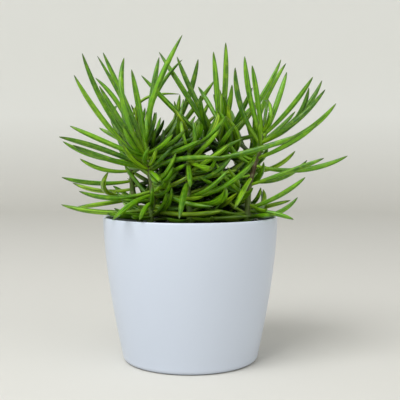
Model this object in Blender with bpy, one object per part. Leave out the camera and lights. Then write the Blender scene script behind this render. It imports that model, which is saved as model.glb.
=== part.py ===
"""Potted senecio: a white tapered planter, the potting mix in it, and seven leafy stems.

Metres, +Z up. The origin is the centre of the planter's flat base. The front faces -Y.
Each leafy stem is one grown piece: a stem with its finger leaves, which are round in section,
thickest beyond the middle, with a short blunt tip. The stems stand in plain holes in the mix.
"""

import math

import bmesh
import bpy
import numpy as np

MM = 0.001
TINY_EDGE = 0.005 * MM

# Planter
POT_HEIGHT = 107 * MM
POT_RIM_RADIUS = 65 * MM
POT_BASE_RADIUS = 50 * MM
POT_SWELL = 1.6
POT_WALL = 2.2 * MM
POT_FLOOR = 2.6 * MM
POT_FOOT_ROUND = 3.5 * MM
POT_SIDES = 48

# Potting mix
SEAT_GAP = 0.3 * MM
MIX_EDGE_HEIGHT = 97 * MM
MIX_CROWN = 2.5 * MM
MIX_RELIEF = 0.7 * MM
MIX_LUMPS_ROUND = 5
MIX_LUMP_WIDTH = 6 * MM
MIX_SIDES = 24
MIX_RINGS = (0.94, 0.75, 0.5, 0.25, 0.0)
HOLE_FLOOR = 68 * MM

# Stems
STEM_FOOT = HOLE_FLOOR + SEAT_GAP
STEM_COLLAR = 104 * MM
STEM_BASE_RADIUS = 2.5 * MM
STEM_TOP_RADIUS = 1.4 * MM
STEM_SIDES = 7
STEM_STEP = 11 * MM
BUD_LENGTH = 4 * MM

# Leaves
LEAF_RADIUS = 2.3 * MM
LEAF_FULL_LENGTH = 66 * MM
EVEN_BEND = 0.5
LEAF_LONGEST_SHARE = 1.1
LEAF_SLIM = 0.7
LEAF_ROOT_SHARE = 0.55
LEAF_BELLY = 0.6
LEAF_TIP_POWER = 2.4
LEAF_TIP_ROUND = 0.65
LEAF_SIDES = 5
LEAF_STATIONS = (0.0, 0.22, 0.5, 0.76, 0.93, 1.0)
SPIRAL_STATIONS = (0.0, 0.35, 0.72, 0.93, 1.0)
YOUNG_STATIONS = (0.0, 0.4, 0.82, 1.0)
GOLDEN_ANGLE = math.radians(137.508)
NEARLY_UP = (0.11, 0.07, 1)

# Room kept between a leaf and whatever it does not grow from
LEAF_GAP = 0.8 * MM
ROOT_RUN = 13 * MM
SAMPLES = 36
STEM_SAMPLES = 50
SIDE_BENDS = (0, 3, -3, 6, -6, 9, -9, 12, -12, 15, -15)
SAG_BENDS = (0, 2, -2)
LEAF_BEND_REACH = 25 * MM

# Each stem: its course above the mix, its leaves, and how many more the spiral adds.
# A course point is x, y, z in millimetres.
# A leaf is the height of its root, its tip as x, y, z, and how far its middle hangs below
# the straight line from root to tip, all in millimetres. A negative hang is an arch.
# Two more values may follow: where along the leaf it bends most, and how much fuller it is.
# The spiral is its first bearing in degrees, its lowest and highest root and its count.
STEMS = {
    "leafy_stem_front_left": {
        "course": [(-30, -24, 98), (-27, -23, 120), (-29, -20, 138), (-31, -17, 150), (-32, -15, 161)],
        "leaves": [
            (144, -83.5, -18, 210, 4.2),
            (147, -77, -22, 225, 6),
            (149, -64, -30, 201, 1),
            (152, -68, -8, 225, -2, 0.5, 0.7),
            (156, -65, 2, 229, 0),
            (150, -47.3, -20, 222, 7, 0.55),
            (148, -41, -34, 212, -0.5),
            (155, -5.6, -16, 239, -7, 0.3),
            (158, -23, -2, 225, -1.5),
            (160, -6, 8, 224.5, -9, 0.6, 0.75),
            (149, -85, -30, 173, 0),
            (142, -91, -40, 165, -2.5),
            (143, -79, -55, 159, 2),
            (127, -79, -30, 127, 5),
            (114, -93, -22, 117, 4),
            (124, -52, -62, 109, -3),
            (118, -34, -60, 109, -3),
            (141, -20, -52, 134, -1),
            (139, 24, -52, 150.5, -6, 0.22),
            (131, 16, -46, 117, 4),
            (153, 4, -30, 166, 2),
            (150, 7, -42, 163, 2),
            (113, 22, -56, 115, 3),
            (107, -58, -42, 112, 1),
            (106, 18, -32, 110, 0),
            (108, -40, -54, 111, 1),
        ],
        "spiral": (60, 110, 156, 16),
    },
    "leafy_stem_back_left": {
        "course": [(-38, 16, 98), (-43, 16, 118), (-45, 15, 134), (-44, 14, 150), (-42, 14, 166)],
        "leaves": [
            (160, -73, 20, 212, -5.5),
            (159, -71, 25, 174, 0),
            (148, -96, 5, 163, 4),
            (141, -84, 10, 150, 4),
            (133, -97, 4, 136, 3),
            (127, -91, 18, 131.5, 4),
            (119, -87, 6, 113, 0),
            (107, 12, 24, 111, 1),
            (118, -60, 20, 129, 0),
            (108, -62, -8, 112, 1),
            (166, -8, 19, 199.5, -17, 0.4, 0.65),
        ],
        "spiral": (100, 106, 164, 24),
    },
    "leafy_stem_back_middle": {
        "course": [(-12, 26, 98), (-14, 26, 120), (-16, 22, 145), (-16, 19, 172)],
        "leaves": [
            (166, 6, 16, 226, 3),
            (164, 19, 26, 211, 0),
            (160, -8, 14, 199, 1),
            (108, 40, 38, 112, 1),
            (113, -50, 42, 120, 2),
            (112, -44, 0, 121, 1),
            (116, 30, 16, 119, 2),
            (122, -40, 6, 132, 2),
            (119, 42, 42, 131, 2),
            (126, -50, 44, 142, 2),
            (134, 36, 46, 155, 2),
            (142, -42, 46, 165, 1),
            (150, 28, 27, 178, 1),
            (157, 21, 30, 185, 1),
            (144, 36, 22, 170, 1),
        ],
        "spiral": (80, 105, 170, 32),
    },
    "leafy_stem_middle_right": {
        "course": [(16, 8, 98), (18, 9, 120), (21, 8, 145), (23, 6, 176)],
        "leaves": [
            (160, 17.2, 4, 230, -0.7),
            (166, 26.8, 12, 238, 1.8),
            (164, 30.5, -10, 204, 1.5),
            (158, -24.1, 20, 232, -0.3),
            (163, -10, 2, 226, 2),
            (154, -36.9, 6, 212.5, 0.5),
            (174, 6, 26, 206, -1),
            (150, 7, -24, 195, 3),
            (160, 68.2, 6, 224.5, 4.6),
            (113, 43, -6, 119, 1),
            (121, -26, -8, 140, 3),
            (127, 50, 20, 152, 2),
            (135, -20, 36, 160, 1),
            (106, -38, 4, 111, 0),
            (163, 54.6, 10, 169.5, 1),
            (168, 47, 14, 190, 1),
        ],
        "spiral": (45, 105, 168, 32),
    },
    "leafy_stem_back_right": {
        "course": [(34, 22, 98), (38, 23, 118), (44, 24, 138), (48, 24, 162)],
        "leaves": [
            (160, 74.3, 24, 224, -4),
            (140, 80, 10, 156, 5),
            (133, 91, 22, 149, 7),
            (107, 77, 13, 118, 0),
            (112, 54, 12, 128, 5),
            (158, 82, 26, 187, 2),
            (111, -12, 54, 118, 1),
            (143, 8, 8, 172, 2),
            (116, 2, 50, 126, 2),
            (125, 6, 50, 142, 2),
        ],
        "spiral": (70, 105, 160, 24),
    },
    "leafy_stem_front_right": {
        "course": [(41, -23, 98), (42, -21, 127), (46, -18, 143), (50, -16, 155), (53, -14.5, 170)],
        "leaves": [
            (160, 32, -22, 215, 5),
            (164, 39.3, -14, 224, 2.2),
            (167, 43.7, -26, 216, -0.3),
            (160, 71.3, -4, 214, 1),
            (166, 87, -26, 208, 2),
            (162, 82, -40, 199, 8),
            (162, 96, -12, 207, 6),
            (161, 94.8, -32, 198.5, 3),
            (158, 103, -30, 189, 6.3),
            (150, 88, -42, 174, 2),
            (145, 112, -28, 152, 6.5),
            (131, 93, -40, 150.3, 0.5),
            (114, 80, -40, 137, 2.5),
            (136, 30, -54, 116, -2),
            (148, 13, -10, 165, 1),
            (165, 58, 2, 195, 0, 0.5, 0.7),
            (110, 78, -18, 122, 6),
            (112, 73, -34, 107, -2),
            (107, 0, -10, 111, 0),
            (107, 56, -50, 111, 1),
        ],
        "spiral": (60, 106, 160, 18),
    },
    "leafy_stem_front_middle": {
        "course": [(0, -28, 98), (-1, -28, 118), (-2, -27, 138), (-1, -26, 154)],
        "leaves": [
            (140, 27, -46, 160, 1),
            (146, 0, -66, 131, -2),
            (132, -7.5, -66, 110, -4, 0.3, 1.15),
            (118, 23, -66, 131, 3, 0.5, 1.3),
            (112, 24, -52, 127, 2),
            (122, 43, -50, 148, 5),
            (136, 33, -34, 142, 1),
            (148, 13, -84, 144, 2),
            (147, 76, -42, 167, 3),
            (110, -38, -12, 116, 1),
            (106, 42, -42, 110, 0),
            (107, -16, -60, 110, 0),
            (108, 14, -61, 111, 0),
        ],
        "spiral": (20, 106, 152, 20),
    },
}

# The spiral's leaves: nearly level low on the stem, steep and shorter near its top.
# They stay inside the outline that the placed leaves give.
SPIRAL_LOW_LIFT = math.radians(6)
SPIRAL_TOP_LIFT = math.radians(60)
SPIRAL_LONG = 60 * MM
SPIRAL_SHORT = 48 * MM
SPIRAL_HANG = 4 * MM
SPIRAL_TURNS = np.radians((0, 15, -15, 30, -30, 50, -50, 75, -75, 100, -100, 130, -130, 180))
SPIRAL_REACH = 60 * MM
SPIRAL_TOP = 206 * MM
FRONT_ROW = -22 * MM
FRONT_LIMIT = 0.3

# Openings that stay clear of grown leaves, as they line up from straight in front:
# x and z of the middle and the radius, in millimetres.
VIEW_DISTANCE = 554 * MM
VIEW_HEIGHT = 149 * MM
OPENINGS = (
    (-57.9, 146.7, 2.6), (-49.7, 138.5, 3), (-37, 137, 3), (-40.7, 126.5, 2), (-49.7, 126.5, 2.2),
    (-59.4, 115.3, 2.2), (-32.5, 115.3, 1.9), (-2.5, 179.6, 2.6), (1.2, 183.4, 2.2), (16.9, 184.1, 2.2),
    (12.4, 178.9, 2.2), (13.2, 155.7, 2.2), (40.1, 171.4, 2), (37.5, 156.5, 1.6), (43.9, 160.9, 1.2),
    (30.4, 146, 1.4), (49.1, 122.8, 2.6), (49.1, 129.5, 2), (63.3, 151.2, 3), (63.3, 133.2, 2.4),
    (55.1, 184.1, 2.6), (-13.8, 205.8, 5.2), (-18.3, 191.6, 3.4), (4.9, 193.9, 2.6), (-36.2, 196, 4),
    (61.8, 193.9, 3), (32.6, 189.4, 1.8), (-54.2, 195.4, 3), (-45.2, 200, 3), (-22.8, 185.1, 2.5),
    (-15.3, 182.1, 2.5),
)

# Young leaves round the bud
YOUNG_COUNT = 4
YOUNG_LENGTH = 24 * MM
YOUNG_LIFT = math.radians(72)
YOUNG_RADIUS = 1.5 * MM
YOUNG_HANG = 1 * MM


def clear_scene():
    """Remove whatever the file opens with."""
    for thing in list(bpy.data.objects):
        bpy.data.objects.remove(thing, do_unlink=True)


def finish_material(name, colour, roughness):
    """A plain Principled material."""
    material = bpy.data.materials.new(name)
    material.use_nodes = True
    shader = material.node_tree.nodes["Principled BSDF"]
    shader.inputs["Base Color"].default_value = (*colour, 1.0)
    shader.inputs["Roughness"].default_value = roughness
    shader.inputs["Metallic"].default_value = 0.0
    return material


def add_object(name, mesh, collection=None):
    """Put a mesh into the scene, or into another collection, as an object of its own."""
    thing = bpy.data.objects.new(name, mesh)
    (collection or bpy.context.scene.collection).objects.link(thing)
    return thing


def combine(target, pieces, operation):
    """Join the pieces to the target, or cut them from it, and remove them."""
    group = pieces[0].users_collection[0]
    step = target.modifiers.new(operation.lower(), "BOOLEAN")
    step.operand_type = "COLLECTION"
    step.collection = group
    step.operation = operation
    step.solver = "EXACT"
    bpy.context.view_layer.objects.active = target
    bpy.ops.object.modifier_apply(modifier=step.name)
    for piece in pieces:
        bpy.data.objects.remove(piece, do_unlink=True)
    bpy.data.collections.remove(group)


def drop_tiny_edges(mesh):
    """Close up the hair-thin slivers that a union leaves where two faces nearly meet."""
    bm = bmesh.new()
    bm.from_mesh(mesh)
    bmesh.ops.dissolve_degenerate(bm, dist=TINY_EDGE, edges=bm.edges)
    bmesh.ops.remove_doubles(bm, verts=bm.verts, dist=TINY_EDGE)
    bm.to_mesh(mesh)
    bm.free()


def new_group(name):
    """A collection in the scene for pieces that are about to be joined."""
    group = bpy.data.collections.new(name)
    bpy.context.scene.collection.children.link(group)
    return group


# Turned pieces


def pot_radius(z):
    """Radius of the planter's outside at a height: fullest and nearly upright at the rim."""
    return POT_RIM_RADIUS - (POT_RIM_RADIUS - POT_BASE_RADIUS) * (1 - z / POT_HEIGHT) ** POT_SWELL


def arc(centre, radius, start, end, steps):
    """Points r, z on an arc, from one angle to another in degrees."""
    angles = np.radians(np.linspace(start, end, steps + 1))
    return [(centre[0] + radius * math.cos(a), centre[1] + radius * math.sin(a)) for a in angles]


def pot_profile():
    """The planter's section, from the middle of its underside round the rim to its inside floor."""
    foot_centre = (pot_radius(POT_FOOT_ROUND) - POT_FOOT_ROUND, POT_FOOT_ROUND)
    lip = POT_WALL / 2
    lip_centre = (POT_RIM_RADIUS - lip, POT_HEIGHT - lip)
    inner_foot = POT_FLOOR + POT_FOOT_ROUND
    inner_centre = (pot_radius(inner_foot) - POT_WALL - POT_FOOT_ROUND, inner_foot)
    outside = [(pot_radius(z), z) for z in np.linspace(POT_FOOT_ROUND, lip_centre[1], 7)[1:-1]]
    inside = [(pot_radius(z) - POT_WALL, z) for z in np.linspace(lip_centre[1], inner_foot, 5)[1:-1]]
    return [
        (0, 0),
        *arc(foot_centre, POT_FOOT_ROUND, -90, 0, 3),
        *outside,
        *arc(lip_centre, lip, 0, 180, 4),
        *inside,
        *arc(inner_centre, POT_FOOT_ROUND, 0, -90, 2),
        (0, POT_FLOOR),
    ]


def mix_top(radius):
    """Height of the mix at a distance from the middle: a low crown."""
    return MIX_EDGE_HEIGHT + MIX_CROWN * (1 - (radius / POT_RIM_RADIUS) ** 2)


def mix_profile():
    """The section of the mix, which fills the planter to below its rim."""
    foot = POT_FLOOR + SEAT_GAP
    round_centre_z = foot + POT_FOOT_ROUND
    slack = POT_WALL + SEAT_GAP + POT_RIM_RADIUS * (1 - math.cos(math.pi / POT_SIDES))
    round_centre = (pot_radius(round_centre_z) - slack - POT_FOOT_ROUND, round_centre_z)
    side = [(pot_radius(z) - slack, z) for z in np.linspace(round_centre_z, MIX_EDGE_HEIGHT, 7)[1:]]
    top = [(share * side[-1][0], mix_top(share * side[-1][0])) for share in MIX_RINGS]
    return [(0, foot), *arc(round_centre, POT_FOOT_ROUND, -90, 0, 2), *side, *top]


def turn(name, profile, sides):
    """Spin a section that starts and ends on the axis into one closed solid."""
    bm = bmesh.new()
    corners = [bm.verts.new((r, 0, z)) for r, z in profile]
    edges = [bm.edges.new(pair) for pair in zip(corners, corners[1:])]
    bmesh.ops.spin(
        bm, geom=corners + edges, cent=(0, 0, 0), axis=(0, 0, 1), angle=math.tau, steps=sides, use_merge=True
    )
    bmesh.ops.remove_doubles(bm, verts=bm.verts, dist=TINY_EDGE)
    bmesh.ops.recalc_face_normals(bm, faces=bm.faces)
    mesh = bpy.data.meshes.new(name)
    bm.to_mesh(mesh)
    bm.free()
    return mesh


def make_pot():
    """The planter, smooth but for its flat underside."""
    mesh = turn("pot", pot_profile(), POT_SIDES)
    mesh.shade_smooth()
    mesh.set_sharp_from_angle(angle=math.radians(40))
    pot = add_object("pot", mesh)
    pot.data.materials.append(finish_material("white_planter", (0.80, 0.83, 0.87), 0.3))
    return pot


def make_mix(courses):
    """The mix, with a lumpy top and a plain round hole for each stem."""
    mesh = turn("soil", mix_profile(), MIX_SIDES)
    for corner in mesh.vertices:
        if corner.co.z > MIX_EDGE_HEIGHT + SEAT_GAP / 2:
            radius = math.hypot(corner.co.x, corner.co.y)
            bearing = math.atan2(corner.co.y, corner.co.x)
            corner.co.z += MIX_RELIEF * math.sin(MIX_LUMPS_ROUND * bearing + radius / MIX_LUMP_WIDTH)
    soil = add_object("soil", mesh)
    holes = new_group("holes")
    hole_radius = STEM_BASE_RADIUS + SEAT_GAP / math.cos(math.pi / STEM_SIDES)
    cutters = []
    for name, course in courses.items():
        x, y = course[0][:2]
        centres = [(x, y, HOLE_FLOOR), (x, y, STEM_COLLAR)]
        hole = tube("hole", centres, (hole_radius, hole_radius), STEM_SIDES, (0, 1, 0), pointed=False)
        cutters.append(add_object(name + "_hole", hole, holes))
    combine(soil, cutters, "DIFFERENCE")
    soil.data.materials.append(finish_material("potting_mix", (0.045, 0.03, 0.02), 0.95))
    return soil


# Stems and leaves


def unit(vector):
    """A vector at length one."""
    return vector / np.linalg.norm(vector)


def tube(name, centres, radii, sides, across, pointed=True):
    """A closed round mesh along a line of centres. It ends in a point, or in a flat cap."""
    centres = np.array(centres, float)
    directions = np.gradient(centres, axis=0)
    bm = bmesh.new()
    rings = []
    for centre, direction, radius in zip(centres, directions, radii):
        if pointed and len(rings) == len(centres) - 1:
            rings.append([bm.verts.new(centre)])
            continue
        first = unit(np.cross(unit(direction), across))
        second = np.cross(unit(direction), first)
        ring = []
        for k in range(sides):
            turned = math.tau * k / sides
            outwards = math.cos(turned) * first + math.sin(turned) * second
            ring.append(bm.verts.new(centre + radius * outwards))
        rings.append(ring)
    bm.faces.new(rings[0])
    for low, high in zip(rings, rings[1:]):
        for k in range(sides):
            following = (k + 1) % sides
            corners = [low[k], low[following], high[following % len(high)], high[k % len(high)]]
            bm.faces.new(list(dict.fromkeys(corners)))
    if not pointed:
        bm.faces.new(rings[-1])
    bmesh.ops.recalc_face_normals(bm, faces=bm.faces)
    mesh = bpy.data.meshes.new(name)
    bm.to_mesh(mesh)
    bm.free()
    return mesh


def smooth_course(points):
    """Points at even steps along a smooth curve through the given ones."""
    points = np.array(points, float) * MM
    padded = np.vstack([2 * points[0] - points[1], points, 2 * points[-1] - points[-2]])
    fine = []
    for k in range(1, len(padded) - 2):
        a, b, c, d = padded[k - 1 : k + 3]
        for t in np.linspace(0, 1, 16, endpoint=False):
            bend = 2 * b + (c - a) * t + (2 * a - 5 * b + 4 * c - d) * t**2 + (3 * b - a - 3 * c + d) * t**3
            fine.append(bend / 2)
    fine = np.array(fine + [points[-1]])
    along = np.concatenate([[0], np.cumsum(np.linalg.norm(np.diff(fine, axis=0), axis=1))])
    places = np.linspace(0, along[-1], round(along[-1] / STEM_STEP) + 1)
    return np.stack([np.interp(places, along, fine[:, axis]) for axis in range(3)], axis=1)


def stem_line(course):
    """Centres and radii of a stem, from its foot in the mix to the point of its bud."""
    above = smooth_course(course)
    foot = above[0].copy()
    foot[2] = STEM_FOOT
    bud = above[-1] + BUD_LENGTH * unit(above[-1] - above[-2])
    radii = np.linspace(STEM_BASE_RADIUS, STEM_TOP_RADIUS, len(above))
    return np.vstack([foot, above, bud]), np.concatenate([[STEM_BASE_RADIUS], radii, [0]])


def leaf_radii(shares, fullest):
    """Radius of a leaf at shares of its length: narrow root, full belly, fine tip."""
    shares = np.asarray(shares, float)
    swelling = LEAF_ROOT_SHARE + (1 - LEAF_ROOT_SHARE) * np.sin(math.pi / 2 * shares / LEAF_BELLY)
    past_belly = np.clip((shares - LEAF_BELLY) / (1 - LEAF_BELLY), 0, 1)
    drawn_out = (1 - past_belly**LEAF_TIP_POWER) ** LEAF_TIP_ROUND
    return fullest * np.where(shares < LEAF_BELLY, swelling, drawn_out)


def bend_side(chord):
    """The level direction that a leaf can bend aside to: front to back where it lies across."""
    along = unit(chord)
    side = np.array((0, 1, 0) if abs(along[1]) < 0.7 else (1, 0, 0), float)
    return unit(side - along * np.dot(side, along))


def leaf_line(root, tip, hang, aside, bend_at, shares):
    """Centres of a leaf: one bend from root to tip, hung below and bent aside by so much."""
    shares = np.asarray(shares, float)[:, None]
    chord = tip - root
    across = bend_side(chord)
    below = unit(np.cross(chord, across))
    if below[2] > 0:
        below = -below
    middle = root + bend_at * chord + 2 * (hang * below + aside * across)
    return (1 - shares) ** 2 * root + 2 * shares * (1 - shares) * middle + shares**2 * tip


def balls(centres, radii, count):
    """Balls evenly along a line of centres: where they are, their radii and how far along they lie."""
    runs = np.concatenate([[0], np.cumsum(np.linalg.norm(np.diff(centres, axis=0), axis=1))])
    places = np.linspace(0, runs[-1], count)
    points = np.stack([np.interp(places, runs, centres[:, axis]) for axis in range(3)], axis=1)
    return points, np.interp(places, runs, radii), places


class Room:
    """The room that stems and leaves already take, and what is still clear."""

    def __init__(self):
        self.points = np.zeros((0, 3))
        self.radii = np.zeros(0)
        self.owners = np.zeros(0, int)
        self.runs = np.zeros(0)

    def take(self, points, radii, owner, runs):
        """Mark a line of balls as taken. runs holds how far each lies from its root."""
        self.points = np.vstack([self.points, points])
        self.radii = np.concatenate([self.radii, radii])
        self.owners = np.concatenate([self.owners, np.full(len(points), owner)])
        self.runs = np.concatenate([self.runs, runs])

    def near(self, root, tip):
        """The part of what is taken that a leaf from root to tip could meet."""
        reach = np.linalg.norm(tip - root) / 2 + LEAF_BEND_REACH
        close = np.linalg.norm(self.points - (root + tip) / 2, axis=1) < reach
        nearby = Room()
        nearby.take(self.points[close], self.radii[close], 0, self.runs[close])
        nearby.owners = self.owners[close]
        return nearby

    def clearance(self, points, radii, owner, runs):
        """The least gap from a line of balls to what it does not grow from."""
        square = (points**2).sum(axis=1)[:, None] + (self.points**2).sum(axis=1) - 2 * points @ self.points.T
        gaps = np.sqrt(np.maximum(square, 0)) - radii[:, None] - self.radii
        near_root = (runs[:, None] < ROOT_RUN) | (self.runs < ROOT_RUN)
        gaps[near_root & (self.owners == owner)] = np.inf
        return gaps.min(initial=np.inf)


def pot_and_mix_gap(points, radii):
    """The least gap from a line of balls to the planter and the mix."""
    spread = np.hypot(points[:, 0], points[:, 1])
    over_rim = points[:, 2] - POT_HEIGHT - radii
    outside = spread - POT_RIM_RADIUS - radii
    inside = POT_RIM_RADIUS - POT_WALL - spread - radii
    above_mix = points[:, 2] - (MIX_EDGE_HEIGHT + MIX_CROWN + MIX_RELIEF) - radii
    within = np.minimum(inside, above_mix)
    return float(np.max([over_rim, outside, within], axis=0).min())


def shades_opening(points, radii):
    """Whether a line of balls covers a part of an opening."""
    nearness = VIEW_DISTANCE / (VIEW_DISTANCE + points[:, 1])
    across = points[:, 0] * nearness
    height = VIEW_HEIGHT + (points[:, 2] - VIEW_HEIGHT) * nearness
    x, z, opening_radii = np.transpose(OPENINGS)[:, :, None] * MM
    return (np.hypot(across - x, height - z) < radii + opening_radii).any()


def grow_leaf(room, owner, root, tip, hang, fullest, stations, bend_at=EVEN_BEND, keep_open=True):
    """The first bend that is clear of everything else, or None."""
    nearby = room.near(root, tip)
    for lower in SAG_BENDS:
        for aside in SIDE_BENDS:
            course = leaf_line(root, tip, hang + lower * MM, aside * MM, bend_at, stations)
            line, radii, runs = balls(course, leaf_radii(stations, fullest), SAMPLES)
            if pot_and_mix_gap(line, radii) < LEAF_GAP or (keep_open and shades_opening(line, radii)):
                continue
            if nearby.clearance(line, radii, owner, runs) >= LEAF_GAP:
                room.take(line, radii, owner, runs)
                return {
                    "root": root,
                    "tip": tip,
                    "hang": hang + lower * MM,
                    "aside": aside * MM,
                    "bend_at": bend_at,
                    "fullest": fullest,
                    "stations": stations,
                }
    return None


def on_stem(line, height):
    """The point of a stem's centre line at a height."""
    return np.array([np.interp(height, line[:, 2], line[:, axis]) for axis in range(3)])


def leaf_fullness(root, tip):
    """Longer leaves are a little fuller."""
    share = min(LEAF_LONGEST_SHARE, np.linalg.norm(tip - root) / LEAF_FULL_LENGTH)
    return LEAF_RADIUS * (LEAF_SLIM + (1 - LEAF_SLIM) * share)


def bearing_to(bearing, lift):
    """A direction from a bearing round the stem and a lift above level."""
    return np.array((math.cos(lift) * math.cos(bearing), math.cos(lift) * math.sin(bearing), math.sin(lift)))


def placed_leaves(room, owner, line, rows):
    """The leaves whose tips are given."""
    grown = []
    for height, x, y, z, hang, *more in rows:
        root = on_stem(line, height * MM)
        tip = np.array((x, y, z)) * MM
        bend_at, fuller = (*more, *(EVEN_BEND, 1)[len(more) :])
        fullest = fuller * leaf_fullness(root, tip)
        leaf = grow_leaf(room, owner, root, tip, hang * MM, fullest, LEAF_STATIONS, bend_at, keep_open=False)
        grown.append(leaf)
    return grown


def spiral_leaves(room, owner, line, spiral):
    """More leaves at the golden angle round the back of a stem, each where it finds room."""
    start, lowest, highest, count = spiral
    faces_front = line[0][1] < FRONT_ROW
    grown = []
    for k in range(count):
        share = k / (count - 1)
        root = on_stem(line, (lowest + (highest - lowest) * share) * MM)
        lift = SPIRAL_LOW_LIFT + (SPIRAL_TOP_LIFT - SPIRAL_LOW_LIFT) * share
        length = SPIRAL_LONG + (SPIRAL_SHORT - SPIRAL_LONG) * share
        for turned in SPIRAL_TURNS:
            bearing = math.radians(start) + k * GOLDEN_ANGLE + turned
            tip = root + length * bearing_to(bearing, lift)
            in_front = faces_front and math.sin(bearing) < FRONT_LIMIT
            if in_front or abs(tip[0]) > SPIRAL_REACH or tip[2] > SPIRAL_TOP:
                continue
            leaf = grow_leaf(room, owner, root, tip, SPIRAL_HANG, leaf_fullness(root, tip), SPIRAL_STATIONS)
            if leaf:
                grown.append(leaf)
                break
    return grown


def young_leaves(room, owner, line):
    """Short upright leaves round the bud."""
    grown = []
    root = line[-2]
    for k in range(YOUNG_COUNT):
        for turned in SPIRAL_TURNS:
            tip = root + YOUNG_LENGTH * bearing_to(k * GOLDEN_ANGLE + turned, YOUNG_LIFT)
            leaf = grow_leaf(room, owner, root, tip, YOUNG_HANG, YOUNG_RADIUS, YOUNG_STATIONS)
            if leaf:
                grown.append(leaf)
                break
    return grown


def grow_plant():
    """Every stem's line and leaves, worked out together so that no two stems cross."""
    room = Room()
    lines = {}
    for owner, (name, stem) in enumerate(STEMS.items()):
        centres, radii = stem_line(stem["course"])
        points, thick, _ = balls(centres[1:-1], radii[1:-1], STEM_SAMPLES)
        room.take(points, thick, owner, np.zeros(STEM_SAMPLES))
        lines[name] = (centres, radii)
    plant = {name: [] for name in STEMS}
    for owner, (name, stem) in enumerate(STEMS.items()):
        plant[name] += placed_leaves(room, owner, lines[name][0], stem["leaves"])
    for owner, (name, stem) in enumerate(STEMS.items()):
        plant[name] += young_leaves(room, owner, lines[name][0])
        plant[name] += spiral_leaves(room, owner, lines[name][0], stem["spiral"])
    return lines, plant


def make_leafy_stem(name, line, leaves, material):
    """One stem and its leaves, joined in one body."""
    centres, radii = line
    stem = add_object(name, tube(name, centres, radii, STEM_SIDES, (0, 1, 0)))
    group = new_group(name + "_leaves")
    pieces = []
    for leaf in leaves:
        stations = leaf["stations"]
        course = leaf_line(leaf["root"], leaf["tip"], leaf["hang"], leaf["aside"], leaf["bend_at"], stations)
        across = unit(np.cross(leaf["tip"] - leaf["root"], NEARLY_UP))
        mesh = tube("leaf", course, leaf_radii(stations, leaf["fullest"]), LEAF_SIDES, across)
        pieces.append(add_object("leaf", mesh, group))
    combine(stem, pieces, "UNION")
    drop_tiny_edges(stem.data)
    stem.data.materials.clear()
    stem.data.materials.append(material)
    return stem


def main():
    clear_scene()
    make_pot()
    make_mix({name: np.array(stem["course"]) * MM for name, stem in STEMS.items()})
    leaf_green = finish_material("leaf_green", (0.13, 0.28, 0.05), 0.45)
    lines, plant = grow_plant()
    for name in STEMS:
        leaves = [leaf for leaf in plant[name] if leaf]
        make_leafy_stem(name, lines[name], leaves, leaf_green)


main()
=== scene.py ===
"""Potted senecio: a moulded white planter, potting mix with crumbs, leafy stems and a plain stage.

Metres, +Z up, the front towards -Y, the origin under the middle of the planter.
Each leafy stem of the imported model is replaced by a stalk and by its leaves, which are bent copies
of one finger leaf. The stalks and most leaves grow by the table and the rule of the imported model.
More leaves, thinner and closer together, then fill the inside of the plant.
"""

import math

import bpy
import numpy as np
from bpy.props import FloatProperty, FloatVectorProperty, IntProperty, PointerProperty
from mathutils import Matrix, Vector, noise


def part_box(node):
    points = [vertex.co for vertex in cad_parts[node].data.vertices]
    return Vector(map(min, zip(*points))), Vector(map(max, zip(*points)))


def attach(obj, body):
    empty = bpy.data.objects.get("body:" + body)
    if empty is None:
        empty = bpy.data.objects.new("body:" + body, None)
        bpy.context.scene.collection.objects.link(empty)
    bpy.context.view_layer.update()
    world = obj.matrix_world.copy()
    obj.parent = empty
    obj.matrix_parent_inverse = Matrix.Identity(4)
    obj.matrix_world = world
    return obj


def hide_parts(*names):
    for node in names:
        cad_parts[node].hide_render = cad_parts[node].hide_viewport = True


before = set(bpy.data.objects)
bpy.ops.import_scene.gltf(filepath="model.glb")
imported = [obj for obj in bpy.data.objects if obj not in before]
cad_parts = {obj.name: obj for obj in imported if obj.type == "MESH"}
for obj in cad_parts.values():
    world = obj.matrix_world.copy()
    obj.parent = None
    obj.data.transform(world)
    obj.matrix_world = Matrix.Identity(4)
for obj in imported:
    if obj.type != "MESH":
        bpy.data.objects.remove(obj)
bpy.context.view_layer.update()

bl_info = {
    "name": "Potted senecio",
    "version": (1, 0, 0),
    "blender": (4, 5, 0),
    "location": "View3D > Sidebar > Senecio",
    "description": "Models a potted senecio: planter, potting mix, stalks and finger leaves",
    "category": "Mesh",
}

MM = 0.001
# A length that counts as none
NEXT_TO_NOTHING = 1e-6

# Planter
POT_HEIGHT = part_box("pot")[1].z
POT_RIM_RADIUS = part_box("pot")[1].x
POT_BASE_RADIUS = 50 * MM
POT_SWELL = 1.6
POT_WALL = 2.2 * MM
POT_FLOOR = 2.6 * MM
POT_FOOT_ROUND = 3.5 * MM
POT_SIDES = 128
FOOT_STEPS = 8
SIDE_STEPS = 26
LIP_STEPS = 10
INSIDE_STEPS = 16
FLOOR_STEPS = 6

# Potting mix
SEAT_GAP = 0.3 * MM
MIX_EDGE_HEIGHT = 97 * MM
MIX_CROWN = 2.5 * MM
MIX_RELIEF = 0.7 * MM
MIX_LUMPS_ROUND = 5
MIX_LUMP_WIDTH = 6 * MM
MIX_GRAIN = 5 * MM
# How rough the grain is, how much finer each of its layers is, and how many there are
MIX_FRACTAL = (1, 2, 3)
MIX_SIDES = 144
MIX_TOP_RINGS = 28
MIX_TOP_SHARES = (0.985, 0.02)
MIX_FOOT_STEPS = 4
MIX_SIDE_STEPS = 12
HOLE_FLOOR = 68 * MM
CRUMB_KINDS = 6
CRUMB_SPREAD = 0.93
CRUMB_ROUGHNESS = 0.22
CRUMB_UNIFORMITY = 0.6
CRUMB_SHAPE = (1, 0.7, 0.45)
CRUMB_SMALLEST = 0.3
CRUMB_TILT = 0.35
CRUMB_LIFT = 0.08
CRUMB_SEED = 11

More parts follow.
